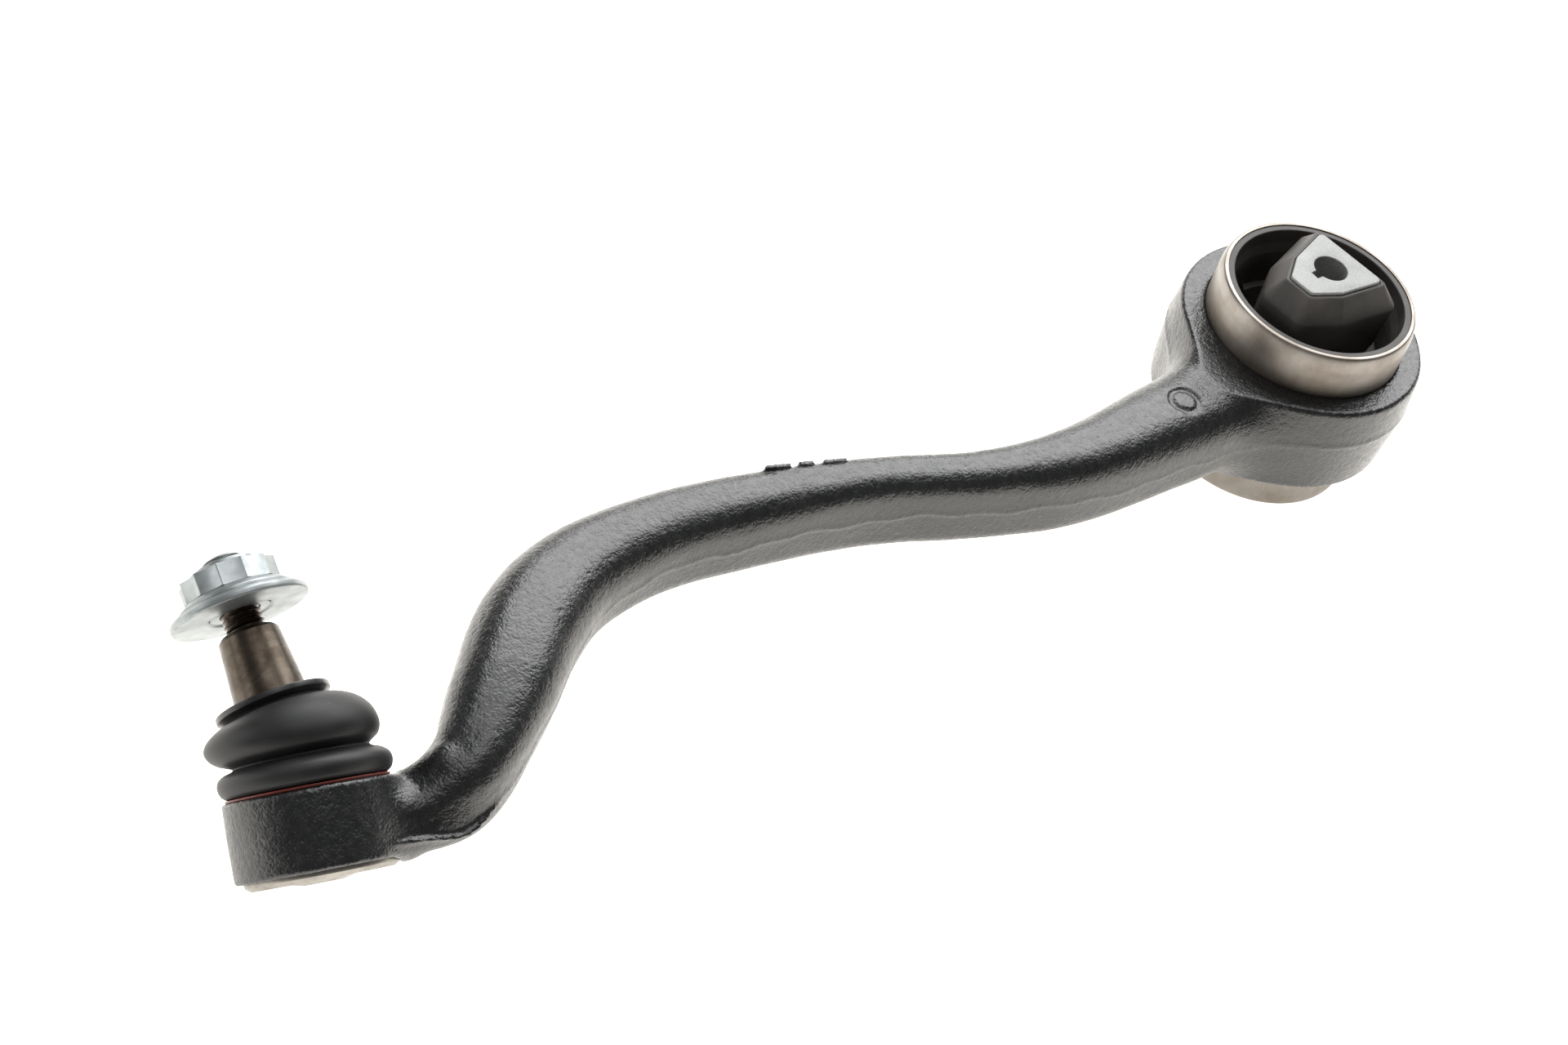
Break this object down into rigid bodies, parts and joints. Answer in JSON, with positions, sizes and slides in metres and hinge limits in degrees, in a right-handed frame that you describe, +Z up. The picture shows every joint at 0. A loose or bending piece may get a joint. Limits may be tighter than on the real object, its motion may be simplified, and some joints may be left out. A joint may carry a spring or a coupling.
{
  "type": "suspension control arm",
  "caption": "Forged, curved front suspension arm with a large pressed-in rubber bushing at one end and a booted ball joint with a tapered stud and flanged nut at the other.",
  "frame": {"origin": "middle of the bushing, on the bolt axis at mid height of the sleeve", "axes": "+Z up along the bushing's bolt axis, the arm runs towards -X to the ball joint, +Y the side the ball stud points to"},
  "size_m": [0.4829, 0.119, 0.0837],
  "materials": {
    "arm_paint": "semi-gloss black paint over a forged skin",
    "sleeve_steel": "bare turned steel, satin",
    "bush_rubber": "matt moulded rubber",
    "cage_steel": "plain steel, rubber coated",
    "ring_plastic": "glass-filled nylon",
    "core_metal": "grainy cast face",
    "race_plastic": "acetal",
    "preload_rubber": "moulded",
    "cap_metal": "grey primer",
    "seal_red": "red-brown seal",
    "boot_rubber": "satin black rubber",
    "collar_black": "black moulded collar",
    "spring_wire": "spring steel",
    "stud_steel": "phosphated steel, brown tint",
    "nut_zinc": "zinc flake coating",
    "insert_nylon": "locking ring"
  },
  "bodies": {
    "arm": {"arm_forging": "arm_paint", "bush_sleeve": "sleeve_steel", "bush_lining": "bush_rubber", "fluid_ring": "ring_plastic", "bush_cage": "cage_steel", "stop_buffers": "bush_rubber", "race_upper": "race_plastic", "race_lower": "race_plastic", "preload_ring": "preload_rubber", "closing_cap": "cap_metal", "sealing_ring": "seal_red"},
    "spring": {"rubber_spring": "bush_rubber"},
    "core": {"core_block": "bush_rubber", "inner_core": "core_metal"},
    "boot": {"boot_clamp": "spring_wire", "dust_boot": "boot_rubber"},
    "collar": {"seal_collar": "collar_black", "top_clamp": "spring_wire"},
    "stud": {"ball_stud": "stud_steel"},
    "washer": {"washer": "nut_zinc"},
    "nut": {"nut": "nut_zinc", "lock_insert": "insert_nylon"}
  },
  "joints": [
    {"name": "bush_tilt", "type": "hinge", "parent": "arm", "child": "spring", "pos_m": [0, 0, 0], "axis": [0, 1, 0], "range_deg": [-6, 6], "stiffness_Nm_per_rad": 60, "deforming": ["rubber_spring"]},
    {"name": "bush_twist", "type": "hinge", "parent": "spring", "child": "core", "pos_m": [0, 0, 0], "axis": [0, 0, 1], "range_deg": [-12, 12], "stiffness_Nm_per_rad": 40},
    {"name": "ball_swivel", "type": "hinge", "parent": "arm", "child": "boot", "pos_m": [-0.4093, 0, -0.0075], "axis": [0.222, 0.7989, 0.559], "continuous": true},
    {"name": "ball_tilt", "type": "hinge", "parent": "boot", "child": "collar", "pos_m": [-0.4093, 0, -0.0075], "axis": [-0.886, -0.074, 0.4577], "range_deg": [-12.8, 7.2], "deforming": ["dust_boot"]},
    {"name": "ball_spin", "type": "hinge", "parent": "collar", "child": "stud", "pos_m": [-0.4093, 0, -0.0075], "axis": [0.1263, 0.9113, 0.392], "continuous": true},
    {"name": "nut_travel", "type": "slide", "parent": "stud", "child": "washer", "axis": [0.1263, 0.9113, 0.392], "range_m": [-0.005, 0.003]},
    {"name": "nut_turn", "type": "hinge", "parent": "washer", "child": "nut", "pos_m": [-0.4093, 0, -0.0075], "axis": [0.1263, 0.9113, 0.392], "range_deg": [-1204, 724]}
  ],
  "couplings": [
    {"joint": "nut_turn", "follows": "nut_travel", "rad_per_m": 4188.8}
  ]
}
